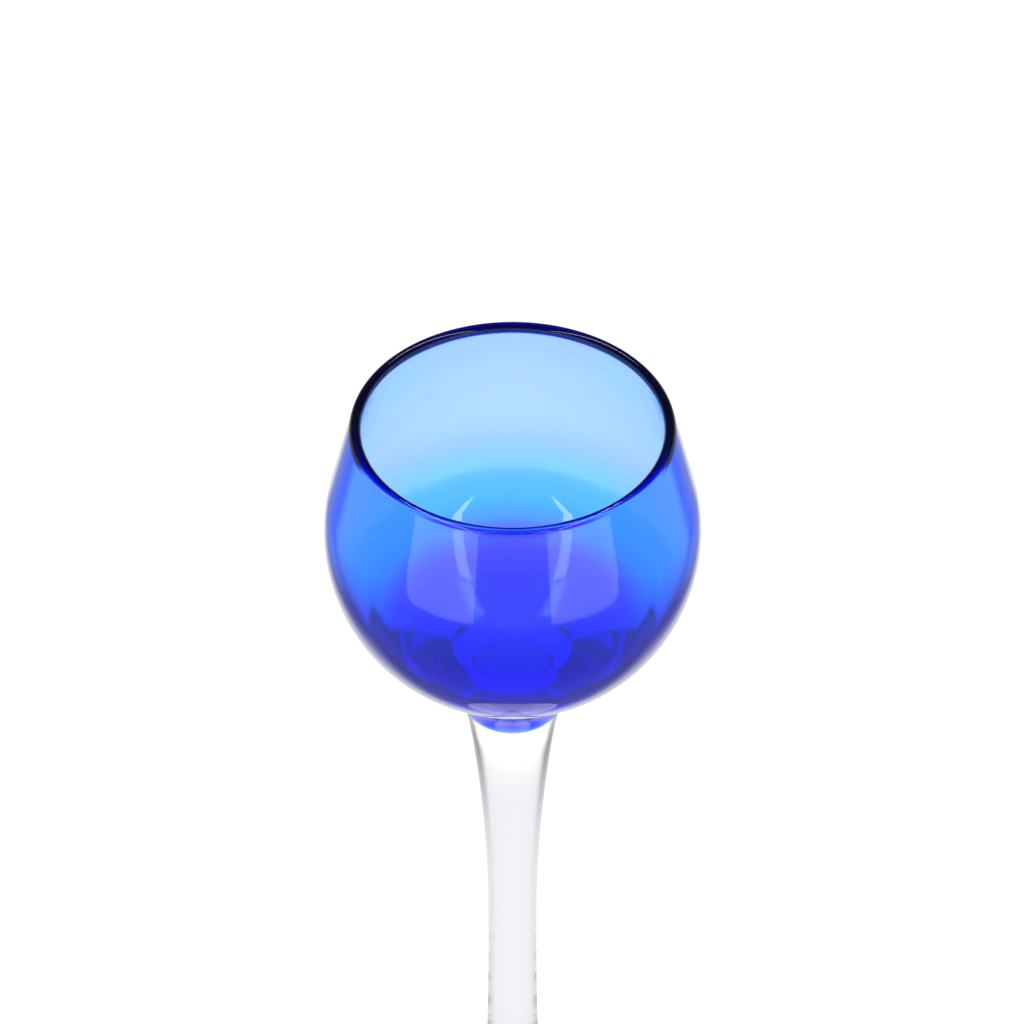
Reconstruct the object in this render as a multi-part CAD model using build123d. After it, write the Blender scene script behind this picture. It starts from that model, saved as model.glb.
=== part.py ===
from build123d import *

import os
from math import acos, atan2, cos, degrees, hypot, radians, sin, sqrt, tan

# Stemmed cordial glass, three pieces of glass joined hot. A blown bowl is drawn down to a cone that ends in a
# solid rounded tip. A drawn stem flares into a cup that cases the tip and seats on the cone. A cast foot
# carries the stem. Joined glass touches all over, so mating faces share one outline, without clearance.
# Millimetres and degrees. Z is the axis of the glass and Z = 0 is the table.

# Whole glass
OVERALL_HEIGHT = 165.0  # table to the top of the lip

# Bowl, outside
BOWL_DIAMETER = 52.0  # at the widest line
WIDEST_DROP = 19.6  # widest line below the top of the lip
BOWL_TAPER = 14.3  # inward lean of the straight wall under the lip
ROUND_END = 44.0  # angle below the widest line where the round runs out into the cone
LIP_THICKNESS = 1.6  # fire-polished, fully round

# Bowl, inside
SIDE_WALL = 1.3  # at the widest line, thinner than the lip
BEND_RADIUS = 6.6  # between the side and the bottom
BOTTOM_RADIUS = 35.0  # hollow of the bottom
BASE_THICKNESS = 6.2  # bottom above the lowest point of the outside round, were it whole

# Joint of bowl and stem
SEAT_DIAMETER = 19.6  # outer edge of the stem's cup, on the cone
TIP_DIAMETER = 16.4  # bowl's solid tip where it leaves the cone
TIP_DEPTH = 5.7  # end of the tip below that place
TIP_ROUNDING = 6.0  # radius of the tip's end

# Stem
WAIST_DIAMETER = 7.3  # thinnest place
WAIST_HEIGHT = 67.0  # its height above the table
NECK_DIAMETER = 12.5  # where the long sweep turns out into the cup
NECK_DROP = 9.7  # that place below the edge of the cup
STEM_FOOT_DIAMETER = 10.0  # stem at its joint with the foot

# Foot
FOOT_DIAMETER = 54.0
FOOT_EDGE = 2.4  # thickness of the fully rounded edge
FOOT_SLOPE = 7.0  # rise of the upper face towards the stem
FOOT_RISE = 10.0  # joint with the stem above the table
RING_WIDTH = 3.0  # flat ring that stands on the table
UNDERSIDE_HOLLOW = 1.5  # depth of the hollow inside that ring

# Levels and radii that follow from the sizes above
BOWL_RADIUS = BOWL_DIAMETER / 2
SIDE_RADIUS = BOWL_RADIUS - SIDE_WALL
WIDEST_LEVEL = OVERALL_HEIGHT - WIDEST_DROP
SEAT_RADIUS = SEAT_DIAMETER / 2
TIP_RADIUS = TIP_DIAMETER / 2
STEM_FOOT_RADIUS = STEM_FOOT_DIAMETER / 2

UP = (0, 1)
DOWN = (0, -1)
OUTWARD = (1, 0)


def cone_point(radius):
    """Point of the bowl's cone at a distance from the axis. The cone touches the end of the round."""
    end = radians(ROUND_END)
    top = WIDEST_LEVEL - BOWL_RADIUS * sin(end)
    return Vector(radius, top - (BOWL_RADIUS * cos(end) - radius) / tan(end))


def tip_outline():
    """Solid tip from its end on the axis to where it leaves the cone: a round end and a straight side."""
    top = cone_point(TIP_RADIUS)
    centre_level = top.Y - TIP_DEPTH + TIP_ROUNDING
    rise = top.Y - centre_level
    touch_angle = degrees(atan2(rise, TIP_RADIUS) - acos(TIP_ROUNDING / hypot(rise, TIP_RADIUS)))
    end = CenterArc((0, centre_level), TIP_ROUNDING, -90, 90 + touch_angle)
    return [end, Line(end @ 1, top)]


def inside_outline(side_top):
    """Inside of the bowl up to an angle above the widest line: the hollow bottom, the bend and the side."""
    bottom_rise = BASE_THICKNESS + BOTTOM_RADIUS - BOWL_RADIUS

    # The bend touches the side and the bottom from within.
    from_side = SIDE_RADIUS - BEND_RADIUS
    from_bottom = BOTTOM_RADIUS - BEND_RADIUS
    bend_rise = (from_side**2 - from_bottom**2 + bottom_rise**2) / (2 * bottom_rise)
    bend_centre = (sqrt(from_side**2 - bend_rise**2), WIDEST_LEVEL + bend_rise)
    side_end = degrees(atan2(bend_rise, bend_centre[0]))
    bottom_end = degrees(atan2(bend_rise - bottom_rise, bend_centre[0]))
    return [
        CenterArc((0, WIDEST_LEVEL + bottom_rise), BOTTOM_RADIUS, -90, 90 + bottom_end),
        CenterArc(bend_centre, BEND_RADIUS, bottom_end, side_end - bottom_end),
        CenterArc((0, WIDEST_LEVEL), SIDE_RADIUS, side_end, side_top - side_end),
    ]


def turned(outline):
    """Solid of revolution of a closed half outline, given as (radius, height)."""
    return revolve(Plane.XZ * make_face(outline), axis=Axis.Z)


def make_bowl():
    """Blown bowl: a round between a cone and a straight tapered wall, a round lip, and a thick base."""
    lean = radians(BOWL_TAPER)
    out_of_wall = Vector(cos(lean), sin(lean))

    # The round of the lip touches the outside line of the wall and the level of the lip.
    lip = LIP_THICKNESS / 2
    lip_level = OVERALL_HEIGHT - lip
    lip_rise = lip_level - WIDEST_LEVEL
    lip_reach = (BOWL_RADIUS - lip - lip_rise * sin(lean)) / cos(lean)
    lip_centre = Vector(lip_reach, lip_level)

    # The inside line of the wall touches the round of the lip and the inside's side.
    inside_lean = atan2(lip_rise, lip_reach) - acos((SIDE_RADIUS + lip) / hypot(lip_rise, lip_reach))
    lip_start = lip_centre + out_of_wall * lip
    lip_end = lip_centre - Vector(cos(inside_lean), sin(inside_lean)) * lip

    tip = tip_outline()
    inside = inside_outline(degrees(inside_lean))
    outside = CenterArc((0, WIDEST_LEVEL), BOWL_RADIUS, -ROUND_END, ROUND_END + BOWL_TAPER)
    outline = [
        *tip,
        Line(tip[1] @ 1, outside @ 0),
        outside,
        Line(outside @ 1, lip_start),
        TangentArc(lip_start, lip_end, tangent=(-sin(lean), cos(lean))),
        Line(lip_end, inside[-1] @ 1),
        *inside,
        Line(inside[0] @ 0, tip[0] @ 0),
    ]
    return turned(outline)


def make_stem():
    """Drawn stem: a slow sweep either side of the waist, and a cup that takes the bowl's tip."""
    base = (STEM_FOOT_RADIUS, FOOT_RISE)
    waist = (WAIST_DIAMETER / 2, WAIST_HEIGHT)
    cup_edge = cone_point(SEAT_RADIUS)
    neck = (NECK_DIAMETER / 2, cup_edge.Y - NECK_DROP)
    upper_sweep = TangentArc(waist, neck, tangent=UP)
    tip = tip_outline()
    outline = [
        Line((0, FOOT_RISE), base),
        TangentArc(waist, base, tangent=DOWN),
        upper_sweep,
        TangentArc(neck, cup_edge, tangent=upper_sweep % 1),
        Line(cup_edge, tip[1] @ 1),
        *tip,
        Line(tip[0] @ 0, (0, FOOT_RISE)),
    ]
    return turned(outline)


def make_foot():
    """Cast foot: rounded edge, low cone swept up to the stem, hollow underside inside a flat ring."""
    slope = radians(FOOT_SLOPE)
    edge = FOOT_EDGE / 2
    ring_outer = FOOT_DIAMETER / 2 - edge
    ring_inner = ring_outer - RING_WIDTH
    edge_top = Vector(ring_outer + edge * sin(slope), edge * (1 + cos(slope)))

    # The sweep is upright at the stem and touches the cone.
    cone_distance = edge_top.X * sin(slope) + edge_top.Y * cos(slope)
    joint_distance = STEM_FOOT_RADIUS * sin(slope) + FOOT_RISE * cos(slope)
    sweep = (joint_distance - cone_distance) / (1 - sin(slope))
    sweep_centre = Vector(STEM_FOOT_RADIUS + sweep, FOOT_RISE)
    cone_top = sweep_centre - Vector(sin(slope), cos(slope)) * sweep

    joint_edge = (STEM_FOOT_RADIUS, FOOT_RISE)
    hollow_top = (0, UNDERSIDE_HOLLOW)
    outline = [
        Line((0, FOOT_RISE), joint_edge),
        TangentArc(joint_edge, cone_top, tangent=DOWN),
        Line(cone_top, edge_top),
        TangentArc((ring_outer, 0), edge_top, tangent=OUTWARD),
        Line((ring_inner, 0), (ring_outer, 0)),
        TangentArc(hollow_top, (ring_inner, 0), tangent=OUTWARD),
        Line(hollow_top, (0, FOOT_RISE)),
    ]
    return turned(outline)


os.makedirs("parts", exist_ok=True)
pieces = {"bowl": make_bowl, "stem": make_stem, "foot": make_foot}
for name, make in pieces.items():
    export_step(make(), f"parts/{name}.step")
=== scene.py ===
import logging
from dataclasses import dataclass, field
from enum import Enum
from math import acos, atan2, cos, hypot, pi, radians, sin, sqrt, tan
from typing import Any, Iterable, Optional, Union

import bmesh
import bpy
from mathutils import Matrix, Vector


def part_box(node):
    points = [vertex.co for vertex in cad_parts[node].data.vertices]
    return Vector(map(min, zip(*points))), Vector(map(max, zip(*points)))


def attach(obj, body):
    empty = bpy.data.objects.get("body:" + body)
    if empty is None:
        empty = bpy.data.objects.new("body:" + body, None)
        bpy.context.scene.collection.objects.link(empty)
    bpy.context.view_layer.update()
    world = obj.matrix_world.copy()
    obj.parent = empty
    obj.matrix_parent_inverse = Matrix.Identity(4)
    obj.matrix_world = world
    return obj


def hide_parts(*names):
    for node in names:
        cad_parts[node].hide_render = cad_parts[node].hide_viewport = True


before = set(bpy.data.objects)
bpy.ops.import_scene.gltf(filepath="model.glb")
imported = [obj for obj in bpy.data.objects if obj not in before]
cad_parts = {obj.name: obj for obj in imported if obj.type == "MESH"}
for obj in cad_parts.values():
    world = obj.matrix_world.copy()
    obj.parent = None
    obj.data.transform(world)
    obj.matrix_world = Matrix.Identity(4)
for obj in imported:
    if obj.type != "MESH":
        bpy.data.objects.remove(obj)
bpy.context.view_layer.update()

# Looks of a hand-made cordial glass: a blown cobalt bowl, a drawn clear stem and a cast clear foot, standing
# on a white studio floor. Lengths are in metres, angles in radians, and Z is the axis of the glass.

MM = 0.001
BOWL_RADIUS = 26.0 * MM  # at the widest line
WIDEST_DROP = 19.6 * MM  # widest line below the top of the lip
MERGE_DISTANCE = 0.0002 * MM  # points nearer than this are one
LIGHT_BOUNCES = 48  # light crosses many faces on its way through the base and down the stem
LOG = logging.getLogger("cordial_glass")

Point = tuple[float, float]
Place = tuple[float, float, float]
Colour = tuple[float, float, float]
Operand = Union["Value", float]

WHITE: Colour = (1.0, 1.0, 1.0)
LEVEL: Place = (1.0, 1.0, 0.0)  # times a place, leaves its level part


class Slot(Enum):
    """Material slots of the record."""

    COBALT = "cobalt_glass"
    CLEAR = "clear_glass"


class Value:
    """A number that a node works out. Python's operators add Math nodes to it."""

    def __init__(self, sheet: "NodeSheet", socket: bpy.types.NodeSocket) -> None:
        """Wraps a socket.

        Args:
            sheet: The node sheet that the socket belongs to.
            socket: The output socket that gives the number.
        """
        self.sheet = sheet
        self.socket = socket

    def _math(self, operation: str, *operands: Operand) -> "Value":
        """Adds a Math node.

        Args:
            operation: The Math node's operation.
            operands: Its inputs, in order.

        Returns:
            The node's result.
        """
        inputs = dict(enumerate(operands))
        return self.sheet.value("ShaderNodeMath", {"operation": operation}, inputs)

    def __add__(self, other: Operand) -> "Value":
        """Sum of two numbers."""
        return self._math("ADD", self, other)

    def __sub__(self, other: Operand) -> "Value":
        """Difference of two numbers."""
        return self._math("SUBTRACT", self, other)

    def __mul__(self, other: Operand) -> "Value":
        """Product of two numbers."""
        return self._math("MULTIPLY", self, other)

    def __radd__(self, other: Operand) -> "Value":
        """Sum of two numbers, reflected."""
        return self._math("ADD", other, self)

    def __rsub__(self, other: Operand) -> "Value":
        """Difference of two numbers, reflected."""
        return self._math("SUBTRACT", other, self)

    def __rmul__(self, other: Operand) -> "Value":
        """Product of two numbers, reflected."""
        return self._math("MULTIPLY", other, self)

    def larger(self, other: Operand) -> "Value":
        """The larger of two numbers."""
        return self._math("MAXIMUM", self, other)

    def under(self, other: Operand) -> "Value":
        """1 where this number is the smaller of two, otherwise 0."""
        return self._math("LESS_THAN", self, other)

    def size(self) -> "Value":
        """The number without its sign."""
        return self._math("ABSOLUTE", self)


class NodeSheet:
    """Node tree of a material or of the world, filled one node at a time."""

    def __init__(self, tree: bpy.types.NodeTree) -> None:
        """Empties a node tree and takes it over."""
        self.tree = tree
        tree.nodes.clear()

    def node(
        self,
        kind: str,
        settings: Optional[dict[str, Any]] = None,
        inputs: Optional[dict[Any, Any]] = None,
    ) -> bpy.types.Node:
        """Adds a node.

        Args:
            kind: The node's type.
            settings: Its properties, set first. The stops of a ramp are pairs of place and colour.
            inputs: Values or links for its input sockets, by name or number.

        Returns:
            The new node.
        """
        made = self.tree.nodes.new(kind)
        for name, setting in (settings or {}).items():
            if name == "stops":
                self._set_stops(made.color_ramp, setting)
            else:
                setattr(made, name, setting)
        for name, value in (inputs or {}).items():
            self._feed(made.inputs[name], value)
        return made

    def value(
        self,
        kind: str,
        settings: Optional[dict[str, Any]] = None,
        inputs: Optional[dict[Any, Any]] = None,
        output: Union[str, int] = 0,
    ) -> Value:
        """Adds a node and takes one of its outputs.

        Args:
            kind: The node's type.
            settings: Its properties.
            inputs: Values or links for its input sockets.
            output: Name or number of the output.

        Returns:
            That output.
        """
        return Value(self, self.node(kind, settings, inputs).outputs[output])

    def place(self) -> Value:
        """Place on the surface, in the piece's own coordinates."""
        return self.value("ShaderNodeTexCoord", output="Object")

    def axis(self, vector: Value, name: str) -> Value:
        """One coordinate of a vector, by the name of its axis."""
        return self.value("ShaderNodeSeparateXYZ", inputs={0: vector}, output=name)

    def vector(self, operation: str, *operands: Any, output: str = "Vector") -> Value:
        """Adds a Vector Math node.

        Args:
            operation: The node's operation.
            operands: Its inputs, in order.
            output: The output to take, Vector or Value.

        Returns:
            The node's result.
        """
        inputs = dict(enumerate(operands))
        return self.value("ShaderNodeVectorMath", {"operation": operation}, inputs, output)

    def smooth_step(self, value: Value, start: float, full: float) -> Value:
        """Eases from 0 to 1 as a value goes from one number to another.

        Args:
            value: The value.
            start: Where the result leaves 0.
            full: Where it reaches 1. It may lie below the start.

        Returns:
            The eased share.
        """
        low, high = (0.0, 1.0) if start <= full else (1.0, 0.0)
        inputs = {"Value": value, 1: min(start, full), 2: max(start, full), 3: low, 4: high}
        return self.value("ShaderNodeMapRange", {"interpolation_type": "SMOOTHSTEP"}, inputs)

    def blend(self, share: Value, first: Any, second: Any, mode: str = "MIX") -> Value:
        """Mixes two colours.

        Args:
            share: How far the second colour counts.
            first: Colour or value at 0.
            second: Colour or value at 1.
            mode: The Mix node's way of blending.

        Returns:
            The mixed colour.
        """
        colours = [colour if isinstance(colour, Value) else (*colour, 1.0) for colour in (first, second)]
        settings = {"data_type": "RGBA", "blend_type": mode}
        return self.value("ShaderNodeMix", settings, {0: share, 6: colours[0], 7: colours[1]}, 2)

    def scaled(self, share: Value, first: Value, second: Any) -> Value:
        """Multiplies a colour by another, as far as the share says."""
        return self.blend(share, first, second, "MULTIPLY")

    def _feed(self, socket: bpy.types.NodeSocket, value: Any) -> None:
        """Links a value to a socket, or sets it there if it is plain.

        Args:
            socket: The input socket.
            value: The value.
        """
        if isinstance(value, Value):
            self.tree.links.new(value.socket, socket)
        else:
            socket.default_value = value

    @staticmethod
    def _set_stops(ramp: bpy.types.ColorRamp, stops: Iterable[tuple[float, Colour]]) -> None:
        """Gives a colour ramp its stops.

        Args:
            ramp: The colour ramp.
            stops: Pairs of place, from 0 to 1, and colour.
        """
        while len(ramp.elements) > 1:
            ramp.elements.remove(ramp.elements[-1])
        for number, (place, colour) in enumerate(stops):
            stop = ramp.elements[0] if number == 0 else ramp.elements.new(place)
            stop.position = place
            stop.color = (*colour, 1.0)


def new_material(name: str) -> tuple[bpy.types.Material, NodeSheet]:
    """Makes an empty node material.

    Args:
        name: The material's name.

    Returns:
        The material and its node sheet.
    """
    material = bpy.data.materials.new(name)
    material.use_nodes = True
    return material, NodeSheet(material.node_tree)


@dataclass(frozen=True)
class Glass:
    """Fire-polished glass that soaks up light along its depth.

    Ranges of facing run from 0, where the surface is seen square on, to 1, where it is seen edge on.
    """

    name: str
    soak: Colour  # light that is left after a metre is exp(-soak), by channel
    index: float = 1.51  # of refraction
    joint_tint: Colour = WHITE  # of light that goes through a joint
    joint_fade: Point = (115.0 * MM, 112.3 * MM)  # heights over which that tint runs out downwards

    def relief(self, sheet: NodeSheet) -> Optional[Value]:
        """Fine unevenness of the surface, as a normal, or nothing where it is smooth."""
        return None

    def tint(self, sheet: NodeSheet, facing: Value) -> Value:
        """Colour that light takes on at the surface."""
        raise NotImplementedError

    def gloss(self, sheet: NodeSheet, facing: Value) -> Union[Value, float]:
        """Weight of a second, outer reflection."""
        return 0.0

    def joined(self, sheet: NodeSheet) -> Value:
        """Where the surface lies in a joint, without air between, as 0 or 1."""
        raise NotImplementedError

    def material(self) -> bpy.types.Material:
        """Builds the node material.

        Returns:
            The material, a clear surface over an absorbing body.
        """
        material, sheet = new_material(self.name)
        shaders = {1: self._outside(sheet), 2: self._inside_joint(sheet)}
        surface = sheet.value("ShaderNodeMixShader", inputs={0: self.joined(sheet), **shaders})
        density = max(self.soak)
        kept = tuple(1.0 - soaked / density for soaked in self.soak)
        body = sheet.value("ShaderNodeVolumeAbsorption", inputs={"Color": (*kept, 1.0), "Density": density})
        sheet.node("ShaderNodeOutputMaterial", inputs={"Surface": surface, "Volume": body})
        return material

    def _outside(self, sheet: NodeSheet) -> Value:
        """Surface between glass and air.

        Args:
            sheet: The material's node sheet.

        Returns:
            Its shader.
        """
        relief = self.relief(sheet)
        uneven = {} if relief is None else {"Normal": relief}
        facing = sheet.value("ShaderNodeLayerWeight", inputs={"Blend": 0.5, **uneven}, output="Facing")
        inputs = {
            "Base Color": self.tint(sheet, facing),
            "Roughness": 0.0,
            "IOR": self.index,
            "Transmission Weight": 1.0,
            "Coat Weight": self.gloss(sheet, facing),
            "Coat Roughness": 0.0,
            **uneven,
        }
        return sheet.value("ShaderNodeBsdfPrincipled", inputs=inputs)

    def _inside_joint(self, sheet: NodeSheet) -> Value:
        """Surface between glass and glass, which light goes straight through.

        Args:
            sheet: The material's node sheet.

        Returns:
            Its shader.
        """
        tinted, plain = (
            sheet.value("ShaderNodeBsdfTransparent", inputs={"Color": (*colour, 1.0)})
            for colour in (self.joint_tint, WHITE)
        )
        low = sheet.smooth_step(sheet.axis(sheet.place(), "Z"), *self.joint_fade)
        return sheet.value("ShaderNodeMixShader", inputs={0: low, 1: tinted, 2: plain})


@dataclass(frozen=True)
class ClearGlass(Glass):
    """Clear glass, a little grey along the stem, with painted shade just inside the stem's outline."""

    face: Colour = (0.71, 0.705, 0.73)  # along the stem
    face_low: Point = (15.0 * MM, 28.0 * MM)  # heights over which it sets in above the foot
    face_high: Point = (112.0 * MM, 96.0 * MM)  # heights over which it runs out below the cup
    edge: tuple[Colour, Colour] = ((0.78, 0.78, 0.82), (0.03, 0.03, 0.04))  # painted shade just inside the outline, by the waist and by the cup
    edge_range: tuple[Point, Point] = ((0.54, 0.7), (0.95, 0.84))  # facing where it sets in and runs out
    edge_rise: Point = (76.0 * MM, 108.0 * MM)  # heights between the two colours
    edge_end: Point = (117.6 * MM, 116.8 * MM)  # heights over which it runs out at the seat
    flare: Point = (105.0 * MM, 116.0 * MM)  # heights over which the stem opens into the cup
    flare_shift: float = 0.22  # facing that the opening adds
    cup_low: float = 50.0 * MM  # faces turned to the axis above this height belong to the cup
    foot_level: float = 10.0 * MM  # joint of stem and foot
    foot_film: float = 0.05 * MM  # faces this near to that level belong to the joint

    def joined(self, sheet: NodeSheet) -> Value:
        """Finds the stem's cup, which faces the axis, and the level joint of stem and foot.

        Args:
            sheet: The material's node sheet.

        Returns:
            1 in a joint, otherwise 0.
        """
        place = sheet.place()
        height = sheet.axis(place, "Z")
        geometry = sheet.node("ShaderNodeNewGeometry")
        normal, leaving = (Value(sheet, geometry.outputs[name]) for name in ("True Normal", "Backfacing"))
        seen = sheet.vector("DOT_PRODUCT", normal, sheet.vector("MULTIPLY", place, LEVEL), output="Value")
        outward = seen * (1.0 - 2.0 * leaving)
        cup = outward.under(0.0) * (1.0 - height.under(self.cup_low))
        off = (height - self.foot_level).size()
        return cup.larger(off.under(self.foot_film))

    def tint(self, sheet: NodeSheet, facing: Value) -> Value:
        """Works out the grey along the stem and the painted shade at its edges.

        Args:
            sheet: The material's node sheet.
            facing: 0 where the surface is seen square on, 1 where it is seen edge on.

        Returns:
            The colour that light takes on at the surface.
        """
        height = sheet.axis(sheet.place(), "Z")
        bodied = sheet.smooth_step(height, *self.face_low) * sheet.smooth_step(height, *self.face_high)
        face = sheet.blend(bodied, WHITE, self.face)
        # painted shade: the stem darkens as it is seen edge on, grey by the waist and near black by the cup
        edge = sheet.blend(sheet.smooth_step(height, *self.edge_rise), *self.edge)
        shifted = facing - sheet.smooth_step(height, *self.flare) * self.flare_shift
        start, end = (sheet.smooth_step(shifted, *span) for span in self.edge_range)
        painted_edge_shade = start * end * sheet.smooth_step(height, *self.edge_end)
        return sheet.scaled(painted_edge_shade, face, edge)


@dataclass(frozen=True)
class CobaltGlass(Glass):
    """Blue glass, pale where it is blown thin and deep towards the gather at its base, with painted shade on
    the lip and just inside the outline.
    """

    gather: float = 114.0 * MM  # height of the middle of the gather
    depth: tuple[tuple[float, Colour], ...] = ()  # colour by distance from it
    near_range: Point = (0.0, 2.0 * MM)  # outward turn over which the near wall takes its own colours
    low: Colour = (0.4, 0.04, 1.0)  # near wall, low down
    low_range: Point = (153.0 * MM, 141.0 * MM)  # heights over which it sets in
    slant: Colour = (0.5, 0.8, 1.0)  # near wall, seen aslant
    slant_range: Point = (0.1, 0.42)  # facing over which it sets in

    # Brink: painted shade on the near wall just inside the outline, at the base, on the round and beside the
    # lip
    brink: tuple[Colour, Colour, Colour] = ((0.004, 0.003, 0.8), (0.02, 0.018, 0.11), (0.03, 0.15, 0.85))
    brink_low: Point = (130.5 * MM, 136.0 * MM)  # heights between base and round
    brink_rise: Point = (144.0 * MM, 152.0 * MM)  # heights between round and lip
    brink_range: tuple[Point, Point] = ((0.52, 0.66), (0.6, 0.68))  # facing, below and above
    gloss_range: Point = (0.7, 0.85)  # facing over which the second reflection sets in

    # Lip: painted shade where light would run along the thick lip; colours and ranges come in pairs, for its
    # outer and its inner half
    lip: tuple[Colour, Colour] = ((0.0005, 0.0005, 0.0012), (0.0006, 0.0006, 0.012))
    lip_low: Point = (163.85 * MM, 164.1 * MM)  # heights over which it sets in
    lip_inside: Point = (21.25 * MM, 20.95 * MM)  # radii between the halves
    lip_edge: tuple[Point, Point] = ((0.27, 0.37), (0.75, 0.5))  # facing over which each turns dark
    lip_shift: float = 0.25  # facing taken off below the outer half
    lip_shift_range: Point = (164.8 * MM, 164.3 * MM)  # heights over which it is taken off
    lip_foot: Colour = (0.02, 0.04, 1.0)  # blue that leads from the wall into the painted shade
    lip_foot_low: Point = (163.6 * MM, 163.9 * MM)  # heights over which it sets in

    ripple_count: float = 50.0
    ripple_depth: float = 0.012 * MM
    ripple_reach: Point = (32.0 * MM, 24.0 * MM)  # distances from the gather over which they set in
    seat: float = 118.1 * MM  # the stem's cup covers the bowl below this height

    def gloss(self, sheet: NodeSheet, facing: Value) -> Value:
        """Weight of a second, outer reflection, which the brink takes on."""
        return sheet.smooth_step(facing, *self.gloss_range)

    def joined(self, sheet: NodeSheet) -> Value:
        """The tip and the cone inside the stem's cup."""
        return sheet.axis(sheet.place(), "Z").under(self.seat)

    def relief(self, sheet: NodeSheet) -> Value:
        """Draws fine ripples that run up from the base and fade below the widest line.

        Args:
            sheet: The material's node sheet.

        Returns:
            The rippled normal.
        """
        place = sheet.place()
        around = sheet.vector("NORMALIZE", sheet.vector("MULTIPLY", place, LEVEL))
        inputs = {"Vector": around, "Scale": self.ripple_count, "Detail": 1.0}
        noise = sheet.value("ShaderNodeTexNoise", inputs=inputs)
        aside = sheet.axis(around, "X")
        ripple = noise * aside * aside * sheet.smooth_step(self._away(sheet, place), *self.ripple_reach)
        return sheet.value("ShaderNodeBump", inputs={"Height": ripple, "Distance": self.ripple_depth})

    def tint(self, sheet: NodeSheet, facing: Value) -> Value:
        """Works out the blue by distance from the gather and by facing, and paints shade just inside the
        outline and on the lip.

        Args:
            sheet: The material's node sheet.
            facing: 0 where the surface is seen square on, 1 where it is seen edge on.

        Returns:
            The colour that light takes on at the surface.
        """
        place = sheet.place()
        height = sheet.axis(place, "Z")
        level = sheet.vector("MULTIPLY", place, LEVEL)
        normal = sheet.value("ShaderNodeNewGeometry", output="Normal")
        near = sheet.smooth_step(sheet.vector("DOT_PRODUCT", normal, level, output="Value"), *self.near_range)
        glass = self._by_depth(sheet, place)
        glass = sheet.scaled(near * sheet.smooth_step(height, *self.low_range), glass, self.low)
        glass = sheet.scaled(near * sheet.smooth_step(facing, *self.slant_range), glass, self.slant)
        glass = self._with_painted_brink_shade(sheet, glass, near, height, facing)
        radius = sheet.vector("LENGTH", level, output="Value")
        return self._with_painted_lip_shade(sheet, glass, radius, height, facing)

    def _away(self, sheet: NodeSheet, place: Value) -> Value:
        """Distance from the middle of the gather."""
        offset = sheet.vector("SUBTRACT", place, (0.0, 0.0, self.gather))
        return sheet.vector("LENGTH", offset, output="Value")

    def _by_depth(self, sheet: NodeSheet, place: Value) -> Value:
        """Colours the glass by distance from the gather.

        Args:
            sheet: The material's node sheet.
            place: Place on the surface.

        Returns:
            The colour.
        """
        first, last = self.depth[0][0], self.depth[-1][0]
        inputs = {"Value": self._away(sheet, place), 1: first, 2: last}
        share = sheet.value("ShaderNodeMapRange", inputs=inputs)
        stops = [((distance - first) / (last - first), colour) for distance, colour in self.depth]
        return sheet.value("ShaderNodeValToRGB", {"stops": stops}, {0: share})

    def _with_painted_brink_shade(self, sheet: NodeSheet, glass: Value, near: Value, height: Value, facing: Value) -> Value:
        """Paints shade just inside the outline by deepening the colour there.

        Args:
            sheet: The material's node sheet.
            glass: Colour so far.
            near: 1 on the near wall, 0 on the far wall.
            height: Height of the place.
            facing: 0 where the surface is seen square on, 1 where it is seen edge on.

        Returns:
            The colour with its painted shade at the brink.
        """
        # painted shade: a dark band on the near wall where it is seen nearly edge on
        below = sheet.blend(sheet.smooth_step(height, *self.brink_low), *self.brink[:2])
        rise = sheet.smooth_step(height, *self.brink_rise)
        low, high = (near * sheet.smooth_step(facing, *span) for span in self.brink_range)
        glass = sheet.scaled(low * (1.0 - rise), glass, below)
        return sheet.scaled(high * rise, glass, self.brink[2])

    def _with_painted_lip_shade(self, sheet: NodeSheet, glass: Value, radius: Value, height: Value, facing: Value) -> Value:
        """Paints shade on the lip where light would run along it.

        Args:
            sheet: The material's node sheet.
            glass: Colour so far.
            radius: Distance of the place from the axis.
            height: Height of the place.
            facing: 0 where the surface is seen square on, 1 where it is seen edge on.

        Returns:
            The colour with its painted shade on the lip.
        """
        inner = sheet.smooth_step(radius, *self.lip_inside)
        shifted = facing - sheet.smooth_step(height, *self.lip_shift_range) * self.lip_shift
        outer_dark = sheet.smooth_step(shifted, *self.lip_edge[0])
        inner_dark = sheet.smooth_step(facing, *self.lip_edge[1])
        leaving = sheet.value("ShaderNodeNewGeometry", output="Backfacing")
        # painted shade: the lip turns near black as it is seen aslant, standing in for light soaked up along
        # it
        dark = (inner * inner_dark + (1.0 - inner) * outer_dark) * (1.0 - leaving)
        glass = sheet.scaled(dark * sheet.smooth_step(height, *self.lip_foot_low), glass, self.lip_foot)
        lip = sheet.blend(inner, *self.lip)
        return sheet.blend(dark * sheet.smooth_step(height, *self.lip_low), glass, lip)


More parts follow.
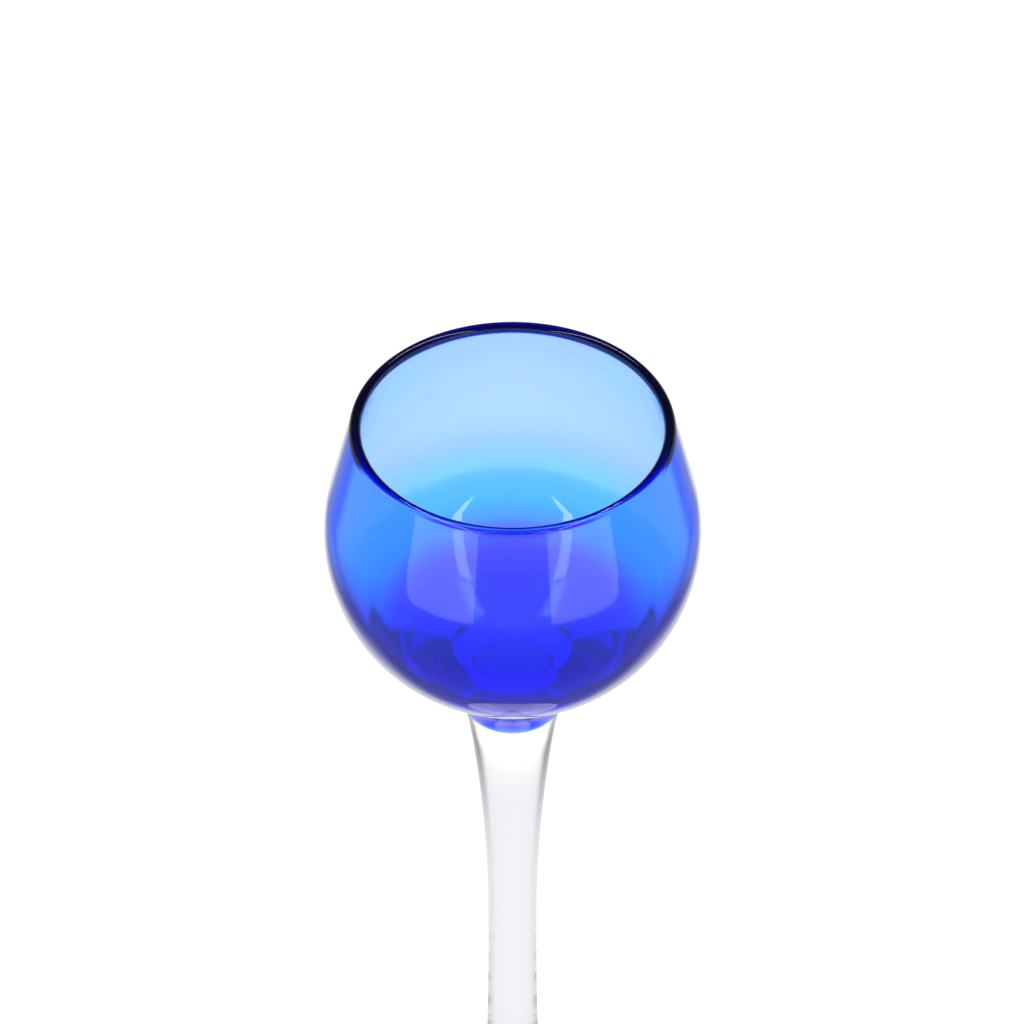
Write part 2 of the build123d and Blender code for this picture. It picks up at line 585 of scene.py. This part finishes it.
class Outline:
    """Half outline of a turned piece, drawn point by point beside the Z axis and then turned about it."""

    def __init__(self, start: Point) -> None:
        """Starts the outline.

        Args:
            start: First point, as distance from the axis and height.
        """
        self.mesh = bmesh.new()
        self.end = self.mesh.verts.new((start[0], 0.0, start[1]))

    def place(self) -> Point:
        """The point that the outline has reached."""
        return self.end.co.x, self.end.co.z

    def line_to(self, point: Point, cuts: int) -> None:
        """Draws a straight line.

        Args:
            point: Where the line ends.
            cuts: Points that divide it.
        """
        start = self.end.co.copy()
        finish = Vector((point[0], 0.0, point[1]))
        for cut in range(1, cuts + 2):
            made = bmesh.ops.extrude_vert_indiv(self.mesh, verts=[self.end])
            self.end = made["verts"][0]
            self.end.co = start.lerp(finish, cut / (cuts + 1))

    def arc_about(self, centre: Point, turn: float, steps: int) -> None:
        """Draws an arc about a centre.

        Args:
            centre: The arc's centre.
            turn: Angle of the arc, positive from the axis of radius towards the axis of height.
            steps: Straight steps that make the arc.
        """
        made = bmesh.ops.spin(
            self.mesh,
            geom=[self.end],
            cent=(centre[0], 0.0, centre[1]),
            axis=(0.0, -1.0, 0.0),
            angle=turn,
            steps=steps,
        )
        self.end = next(part for part in made["geom_last"] if isinstance(part, bmesh.types.BMVert))

    def arc_to(self, point: Point, heading: float, steps: int) -> float:
        """Draws the arc that leaves along a heading and ends at a point.

        Args:
            point: Where the arc ends.
            heading: Direction in which it starts, as an angle from the axis of radius.
            steps: Straight steps that make the arc.

        Returns:
            The heading at its end.
        """
        x, z = self.place()
        chord = hypot(point[0] - x, point[1] - z)
        half_turn = atan2(point[1] - z, point[0] - x) - heading
        half_turn = atan2(sin(half_turn), cos(half_turn))
        radius = chord / (2.0 * sin(half_turn))
        centre = (x - radius * sin(heading), z + radius * cos(heading))
        self.arc_about(centre, 2.0 * half_turn, steps)
        return heading + 2.0 * half_turn

    def turned(self, name: str, steps: int, corner: float) -> bpy.types.Object:
        """Turns the outline about Z into a closed, smooth piece.

        Args:
            name: The piece's name.
            steps: Divisions of the full turn.
            corner: Angle between faces past which an edge stays crisp.

        Returns:
            The new object, which stands at the origin.
        """
        mesh = self.mesh
        outline = [*mesh.verts, *mesh.edges]
        bmesh.ops.spin(
            mesh, geom=outline, cent=(0, 0, 0), axis=(0, 0, 1), angle=2 * pi, steps=steps, use_merge=True
        )
        bmesh.ops.remove_doubles(mesh, verts=mesh.verts, dist=MERGE_DISTANCE)
        bmesh.ops.recalc_face_normals(mesh, faces=mesh.faces)
        for face in mesh.faces:
            face.smooth = True
        for edge in mesh.edges:
            edge.smooth = edge.calc_face_angle(pi) < corner
        data = bpy.data.meshes.new(name)
        mesh.to_mesh(data)
        mesh.free()
        piece = bpy.data.objects.new(name, data)
        bpy.context.scene.collection.objects.link(piece)
        return piece


@dataclass
class TurnedPiece:
    """A piece of glass that is round about Z and stands for one node of the frame."""

    node: str
    slot: Slot
    finish: Glass
    steps: int = 160  # divisions of the full turn
    corner: float = radians(25)  # sharper edges stay crisp

    def outline(self) -> Outline:
        """Draws the piece's half outline."""
        raise NotImplementedError

    def build(self) -> bpy.types.Object:
        """Turns the piece, dresses it and puts it in the node's place.

        Returns:
            The finished piece.
        """
        piece = self.outline().turned(f"{self.node}_glass", self.steps, self.corner)
        self.dress(piece)
        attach(piece, "root")
        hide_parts(self.node)
        return piece

    def dress(self, piece: bpy.types.Object) -> None:
        """Gives the piece its glass."""
        piece.data.materials.append(self.finish.material())


@dataclass(frozen=True)
class Joint:
    """Where the bowl, drawn down to a cone and a solid tip, sits in the stem's cup."""

    round_radius: float  # of the bowl's outside
    round_centre: float  # height of the widest line
    round_end: float = radians(44)  # angle below the widest line where the round runs out into the cone
    seat_radius: float = 9.8 * MM  # outer edge of the cup
    tip_radius: float = 8.2 * MM  # tip where it leaves the cone
    tip_rounding: float = 6.0 * MM  # radius of the tip's end
    tip_depth: float = 5.7 * MM  # end of the tip below the cone

    def cone_top(self) -> Point:
        """Where the round ends and the cone begins."""
        reach, drop = self.round_radius * cos(self.round_end), self.round_radius * sin(self.round_end)
        return reach, self.round_centre - drop

    def cone_level(self, radius: float) -> float:
        """Height of the cone at a distance from the axis."""
        top_radius, top_level = self.cone_top()
        return top_level - (top_radius - radius) / tan(self.round_end)

    def tip_level(self) -> float:
        """Height of the end of the tip."""
        return self.cone_level(self.tip_radius) - self.tip_depth

    def tip_touch(self) -> float:
        """Finds where the straight side of the tip touches its round end.

        Returns:
            The angle of that place from level, seen from the centre of the round end.
        """
        rise = self.tip_depth - self.tip_rounding
        reach = hypot(rise, self.tip_radius)
        return atan2(rise, self.tip_radius) - acos(self.tip_rounding / reach)


@dataclass
class Bowl(TurnedPiece):
    """Blown bowl: a round between a cone and a straight tapered wall, a round lip, and a thick base."""

    joint: Joint = field(kw_only=True)
    lip_level: float = field(kw_only=True)
    taper: float = radians(14.3)  # inward lean of the straight wall
    lip_thickness: float = 1.6 * MM
    side_wall: float = 1.3 * MM  # at the widest line
    bend_radius: float = 6.6 * MM  # between the side and the bottom
    bottom_radius: float = 35.0 * MM  # hollow of the bottom
    base_thickness: float = 6.2 * MM  # bottom above the lowest point of the outside round, were it whole

    def outline(self) -> Outline:
        """Draws the half outline, from the tip up the outside, over the lip and down the inside.

        Returns:
            The closed half outline.
        """
        joint, lean = self.joint, self.taper
        radius, middle = joint.round_radius, joint.round_centre
        lip = self.lip_thickness / 2
        side = radius - self.side_wall

        # The round of the lip touches the wall outside and inside.
        lip_rise = self.lip_level - lip - middle
        lip_reach = (radius - lip - lip_rise * sin(lean)) / cos(lean)
        inside_lean = atan2(lip_rise, lip_reach) - acos((side + lip) / hypot(lip_rise, lip_reach))

        # The bend touches the side and the bottom from within.
        bottom_rise = self.base_thickness + self.bottom_radius - radius
        from_side, from_bottom = side - self.bend_radius, self.bottom_radius - self.bend_radius
        bend_rise = (from_side**2 - from_bottom**2 + bottom_rise**2) / (2 * bottom_rise)
        bend_reach = sqrt(from_side**2 - bend_rise**2)
        side_end = atan2(bend_rise, bend_reach)
        bottom_end = atan2(bend_rise - bottom_rise, bend_reach)

        tip_centre = joint.tip_level() + joint.tip_rounding
        lip_centre = (lip_reach, middle + lip_rise)
        lip_start = (lip_reach + lip * cos(lean), middle + lip_rise + lip * sin(lean))
        side_top = (side * cos(inside_lean), middle + side * sin(inside_lean))
        outline = Outline((0.0, joint.tip_level()))
        outline.arc_about((0.0, tip_centre), pi / 2 + joint.tip_touch(), steps=16)
        outline.line_to((joint.tip_radius, joint.cone_level(joint.tip_radius)), cuts=3)
        outline.line_to(joint.cone_top(), cuts=7)
        outline.arc_about((0.0, middle), lean + joint.round_end, steps=56)
        outline.line_to(lip_start, cuts=11)
        outline.arc_about(lip_centre, pi + inside_lean - lean, steps=24)
        outline.line_to(side_top, cuts=11)
        outline.arc_about((0.0, middle), side_end - inside_lean, steps=40)
        outline.arc_about((bend_reach, middle + bend_rise), bottom_end - side_end, steps=20)
        outline.arc_about((0.0, middle + bottom_rise), -pi / 2 - bottom_end, steps=24)
        return outline


@dataclass
class Stem(TurnedPiece):
    """Drawn stem: a slow sweep either side of the waist and a cup for the bowl's tip."""

    joint: Joint = field(kw_only=True)
    foot_radius: float = 5.0 * MM
    foot_level: float = 10.0 * MM
    waist_radius: float = 3.65 * MM
    waist_level: float = 67.0 * MM
    neck_radius: float = 6.25 * MM  # where the long sweep turns out into the cup
    neck_drop: float = 9.7 * MM  # that place below the edge of the cup
    overlap: float = 0.02 * MM  # keeps light from meeting a film of air where the glass is joined

    def outline(self) -> Outline:
        """Draws the half outline, from the foot up the outside and down inside the cup.

        Returns:
            The closed half outline.
        """
        joint, overlap = self.joint, self.overlap
        cup_level = joint.cone_level(joint.seat_radius)
        lower_turn = 2 * atan2(self.foot_radius - self.waist_radius, self.waist_level - self.foot_level)
        touch = joint.tip_touch()
        tip_centre = joint.tip_level() + joint.tip_rounding
        inner = joint.tip_rounding - overlap

        outline = Outline((0.0, self.foot_level - overlap))
        outline.line_to((self.foot_radius, self.foot_level - overlap), cuts=2)
        outline.arc_to((self.waist_radius, self.waist_level), pi / 2 + lower_turn, steps=24)
        heading = outline.arc_to((self.neck_radius, cup_level - self.neck_drop), pi / 2, steps=24)
        outline.arc_to((joint.seat_radius, cup_level), heading, steps=16)
        for radius in (joint.seat_radius, joint.tip_radius - overlap):
            outline.line_to((radius, joint.cone_level(radius) + overlap), cuts=2)
        outline.line_to((inner * cos(touch), tip_centre + inner * sin(touch)), cuts=3)
        outline.arc_about((0.0, tip_centre), -(pi / 2 + touch), steps=16)
        return outline


@dataclass
class Foot(TurnedPiece):
    """Cast foot: rounded edge, low cone swept up to the stem, hollow underside inside a flat ring."""

    radius: float = 27.0 * MM
    edge: float = 1.2 * MM  # radius of the rounded edge
    slope: float = radians(7)  # rise of the upper face towards the stem
    stem_radius: float = 5.0 * MM
    stem_level: float = 10.0 * MM
    ring_width: float = 3.0 * MM  # flat ring that stands on the table
    hollow: float = 1.5 * MM  # depth of the underside inside that ring

    def outline(self) -> Outline:
        """Draws the half outline, from the hollow underside round the edge and up to the stem.

        Returns:
            The closed half outline.
        """
        rise, run = sin(self.slope), cos(self.slope)
        ring_outer = self.radius - self.edge
        ring_inner = ring_outer - self.ring_width
        edge_top = (ring_outer + self.edge * rise, self.edge * (1 + run))

        # The sweep is upright at the stem and touches the cone.
        cone_distance = edge_top[0] * rise + edge_top[1] * run
        joint_distance = self.stem_radius * rise + self.stem_level * run
        sweep = (joint_distance - cone_distance) / (1 - rise)
        sweep_centre = (self.stem_radius + sweep, self.stem_level)
        cone_top = (sweep_centre[0] - sweep * rise, sweep_centre[1] - sweep * run)

        outline = Outline((0.0, self.hollow))
        outline.arc_to((ring_inner, 0.0), 0.0, steps=24)
        outline.line_to((ring_outer, 0.0), cuts=1)
        outline.arc_about((ring_outer, self.edge), pi - self.slope, steps=20)
        outline.line_to(cone_top, cuts=11)
        outline.arc_about(sweep_centre, -(pi / 2 - self.slope), steps=20)
        outline.line_to((0.0, self.stem_level), cuts=2)
        return outline


@dataclass
class Studio:
    """White floor, soft boxes either side of the camera, narrow lights overhead and a pale sky.

    The camera sees floor and sky white. Reflections see the floor dark beside the glass, and the sky dark
    overhead. Brightness 1 looks white.
    """

    floor_half: float = 3.0  # half the floor's side
    floor_colour: Colour = (0.4, 0.4, 0.4)  # for light that falls on it
    floor_lift: float = 0.75  # its own brightness to the camera
    floor_inside: float = 1.0  # its own brightness through glass
    mirror_share: float = 0.05  # share of its brightness in reflections, beside the glass
    glow_behind: float = 0.6  # share added behind the glass
    glow_side: Point = (0.13, 0.08)  # distances to the side over which that sets in
    glow_start: Point = (0.012, 0.045)  # distances behind the axis over which that sets in
    glow_front: float = 0.75  # share added in front
    glow_front_range: Point = (-0.3, -0.6)  # distances in front of the axis over which that sets in
    sky_light: float = 0.75  # brightness of the sky as a lamp
    sky_inside: float = 0.6  # its brightness through glass, above the horizon
    sky_inside_range: Point = (0.0, 0.03)  # rise of the direction over which that sets in
    sky_top: float = 0.08  # its brightness overhead, in reflections
    sky_top_range: Point = (0.2, 0.5)  # rise of the direction over which that sets in
    sky_lean: float = 0.3  # how much lower that lies behind the glass
    sky_lean_range: Point = (0.0, 0.6)  # backward part of the direction over which it sinks
    box_bearing: float = radians(41.5)  # from the camera's side
    box_distance: float = 0.45
    box_size: Point = (0.34, 0.24)
    box_level: float = 0.01
    box_power: float = 0.34  # watts
    strip_near: Place = (0.277, -0.52, 0.495)  # ends of the right one
    strip_far: Place = (0.0785, 0.25, 0.495)
    strip_width: float = 0.03
    strip_glow: float = 5.5  # brightness
    strip_aim: float = 0.01  # height on the axis that it faces

    def build(self) -> None:
        """Puts up the floor, the sky and the lamps."""
        self._floor()
        self._sky()
        for side in (-1, 1):
            self._soft_box(side)
            self._strip(side)

    @staticmethod
    def _looks(sheet: NodeSheet) -> tuple[Value, Value, Value]:
        """Tells apart the kinds of ray that look.

        Args:
            sheet: The node sheet that asks.

        Returns:
            1 for a ray straight from the camera, for one that leaves glass, and for one off a surface.
        """
        path = sheet.node("ShaderNodeLightPath")
        direct, glossy, through = (
            Value(sheet, path.outputs[f"Is {kind} Ray"]) for kind in ("Camera", "Glossy", "Transmission")
        )
        return direct, through, glossy * (1.0 - through)

    def _floor(self) -> None:
        """Lays a large white floor that looks white and keeps the shadow."""
        mesh = bmesh.new()
        bmesh.ops.create_grid(mesh, x_segments=1, y_segments=1, size=self.floor_half)
        data = bpy.data.meshes.new("studio_floor")
        mesh.to_mesh(data)
        mesh.free()
        floor = bpy.data.objects.new("studio_floor", data)
        bpy.context.scene.collection.objects.link(floor)
        material, sheet = new_material("studio_white")
        matt = sheet.value("ShaderNodeBsdfDiffuse", inputs={"Color": (*self.floor_colour, 1.0)})
        direct, through, mirrored = self._looks(sheet)
        place = sheet.place()
        across, along = (sheet.axis(place, name) for name in "XY")
        # painted light: in reflections the floor glows behind and in front of the glass; the darker floor
        # beside it is painted shadow
        beside = sheet.smooth_step(across.size(), *self.glow_side)
        behind = sheet.smooth_step(along, *self.glow_start) * beside
        front = sheet.smooth_step(along, *self.glow_front_range) * self.glow_front
        seen = mirrored * (self.mirror_share + behind * self.glow_behind + front)
        strength = (direct + seen) * self.floor_lift + through * self.floor_inside
        lift = sheet.value("ShaderNodeEmission", inputs={"Strength": strength})
        both = sheet.value("ShaderNodeAddShader", inputs={0: matt, 1: lift})
        sheet.node("ShaderNodeOutputMaterial", inputs={"Surface": both})
        data.materials.append(material)

    def _sky(self) -> None:
        """Hangs a plain sky: white to the camera, darker overhead in the glass."""
        world = bpy.data.worlds.new("studio_sky")
        world.use_nodes = True
        bpy.context.scene.world = world
        sheet = NodeSheet(world.node_tree)
        direct, through, mirrored = self._looks(sheet)
        way = sheet.value("ShaderNodeTexCoord", output="Generated")
        along, rise = (sheet.axis(way, name) for name in "YZ")
        inside = 1.0 - sheet.smooth_step(rise, *self.sky_inside_range) * (1.0 - self.sky_inside)
        leaned = rise + sheet.smooth_step(along, *self.sky_lean_range) * self.sky_lean
        outside = 1.0 - sheet.smooth_step(leaned, *self.sky_top_range) * (1.0 - self.sky_top)
        matt = 1.0 - direct - through - mirrored
        strength = direct + through * inside + mirrored * outside + matt * self.sky_light
        light = sheet.value("ShaderNodeBackground", inputs={"Strength": strength})
        sheet.node("ShaderNodeOutputWorld", inputs={"Surface": light})

    @staticmethod
    def _lamp(name: str, size: Point, power: float) -> bpy.types.Object:
        """Makes a rectangular lamp that the camera doesn't see.

        Args:
            name: The lamp's name.
            size: Its two sides.
            power: Its power in watts.

        Returns:
            The lamp, at the origin.
        """
        data = bpy.data.lights.new(name, "AREA")
        data.shape = "RECTANGLE"
        data.size, data.size_y = size
        data.energy = power
        lamp = bpy.data.objects.new(name, data)
        lamp.visible_camera = False
        bpy.context.scene.collection.objects.link(lamp)
        return lamp

    def _soft_box(self, side: int) -> None:
        """Stands a soft box beside the camera.

        Args:
            side: -1 for the left of the camera, 1 for the right.
        """
        lamp = self._lamp("soft_box", self.box_size, self.box_power)
        bearing = side * self.box_bearing
        lamp.location = (self.box_distance * sin(bearing), -self.box_distance * cos(bearing), self.box_level)
        aim = Vector((0.0, 0.0, self.box_level)) - lamp.location
        lamp.rotation_euler = aim.to_track_quat("-Z", "Y").to_euler()

    def _strip(self, side: int) -> None:
        """Hangs a long narrow light over one side of the glass and turns it to the axis.

        Args:
            side: -1 for the left of the camera, 1 for the right.
        """
        near, far = (Vector((side * x, y, z)) for x, y, z in (self.strip_near, self.strip_far))
        length = (far - near).length
        power = self.strip_glow * pi * length * self.strip_width
        lamp = self._lamp("strip", (length, self.strip_width), power)
        lamp.location = (near + far) / 2
        along = (far - near).normalized()
        across = (lamp.location - Vector((0.0, 0.0, self.strip_aim))).cross(along).normalized()
        lamp.rotation_euler = Matrix((along, across, along.cross(across))).transposed().to_euler()


@dataclass
class PhotoCamera:
    """Camera at the photograph's height and distance, aimed a little over the bowl's widest line."""

    target: float  # height of the bowl's widest line
    distance: float = 520.0 * MM
    elevation: float = radians(42.36)
    lens: float = 132.43  # millimetres, on the sensor
    sensor: float = 36.0  # millimetres wide
    clip: float = 0.01  # nearest distance that is drawn
    raise_aim: float = 2.54 * MM
    aside: float = -0.08 * MM

    def build(self) -> None:
        """Makes the camera and gives it to the scene."""
        data = bpy.data.cameras.new("photo_camera")
        data.lens = self.lens
        data.sensor_width = self.sensor
        data.clip_start = self.clip
        camera = bpy.data.objects.new("photo_camera", data)
        middle = Vector((self.aside, 0.0, self.target))
        back = Vector((0.0, -cos(self.elevation), sin(self.elevation)))
        up = Vector((0.0, sin(self.elevation), cos(self.elevation)))
        camera.location = middle + back * self.distance
        aim = middle + up * self.raise_aim - camera.location
        camera.rotation_euler = aim.to_track_quat("-Z", "Y").to_euler()
        bpy.context.scene.collection.objects.link(camera)
        bpy.context.scene.camera = camera


COBALT = CobaltGlass(
    "cobalt_glass",
    soak=(575.0, 285.0, 8.0),
    joint_tint=(0.42, 0.32, 1.0),
    depth=(
        (10.0 * MM, (0.24, 0.03, 1.0)),
        (14.0 * MM, (0.45, 0.04, 1.0)),
        (18.0 * MM, (0.6, 0.08, 1.0)),
        (22.0 * MM, (0.7, 0.15, 1.0)),
        (25.4 * MM, (0.32, 0.6, 1.0)),
        (27.9 * MM, (0.18, 0.65, 1.0)),
        (30.0 * MM, (0.19, 0.63, 1.0)),
        (32.2 * MM, (0.27, 0.7, 1.0)),
        (32.5 * MM, (0.38, 0.77, 1.0)),
        (34.6 * MM, (0.533, 0.81, 1.0)),
        (36.8 * MM, (0.69, 0.82, 1.0)),
        (40.0 * MM, (0.88, 0.93, 1.0)),
        (47.0 * MM, (1.0, 1.0, 1.0)),
        (60.0 * MM, (1.0, 1.0, 1.0)),
    ),
)
CLEAR = ClearGlass("clear_glass", soak=(0.6, 0.7, 0.4))


def main() -> None:
    """Builds the glass, the studio and the camera."""
    logging.basicConfig(level=logging.INFO, format="%(name)s: %(message)s")
    bpy.context.scene.view_settings.view_transform = "Standard"
    cycles = bpy.context.scene.cycles
    cycles.max_bounces = cycles.glossy_bounces = cycles.transmission_bounces = LIGHT_BOUNCES
    lip_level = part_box("bowl")[1].z
    joint = Joint(round_radius=BOWL_RADIUS, round_centre=lip_level - WIDEST_DROP)
    pieces = [
        Bowl("bowl", Slot.COBALT, COBALT, joint=joint, lip_level=lip_level),
        Stem("stem", Slot.CLEAR, CLEAR, joint=joint),
        Foot("foot", Slot.CLEAR, CLEAR),
    ]
    for piece in pieces:
        made = piece.build()
        LOG.info("%s stands for %s, %d faces", made.name, piece.node, len(made.data.polygons))
    Studio().build()
    PhotoCamera(joint.round_centre).build()


if __name__ == "__main__":
    main()
